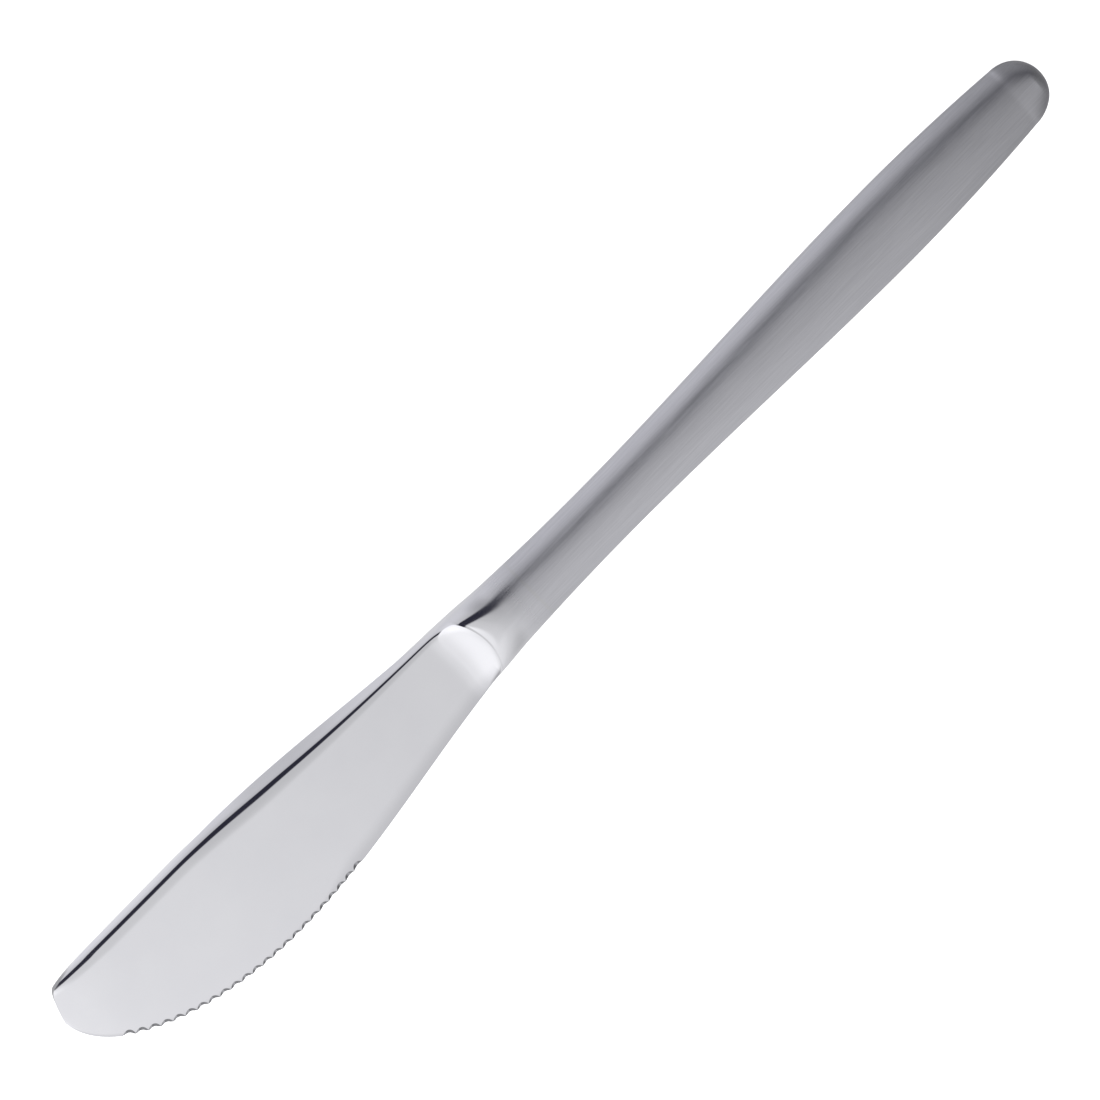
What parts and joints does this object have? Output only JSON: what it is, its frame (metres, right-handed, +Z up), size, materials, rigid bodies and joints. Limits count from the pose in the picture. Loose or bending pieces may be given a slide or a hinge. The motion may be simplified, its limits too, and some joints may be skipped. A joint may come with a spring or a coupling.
{
  "type": "table knife",
  "caption": "Table knife with a polished, round-tipped, serrated blade and a plump, waisted satin steel hollow handle, lying on its side.",
  "frame": {"origin": "under the middle of the part's box, on the surface that the knife lies on", "axes": "+X from butt to tip along the knife, +Y towards the cutting edge, +Z up out of the left cheek, which is the one with the scallops"},
  "size_m": [0.21, 0.0236, 0.0067],
  "materials": {
    "polished_steel": "mirror polished stainless steel on the blade, brushed to a satin on the neck behind the bolster line",
    "satin_steel": "stainless steel sheet brushed lengthwise to a satin",
    "weld_steel": "weld filler ground flush and brushed with the shells",
    "silver_braze": "braze filler dressed flush and brushed with the shells",
    "handle_cement": "matt grey handle cement"
  },
  "bodies": {
    "root": {"blade": "polished_steel", "handle_shell_left": "satin_steel", "handle_shell_right": "satin_steel", "handle_seam_weld": "weld_steel", "bolster_braze": "silver_braze", "tang_cement": "handle_cement"}
  },
  "joints": []
}
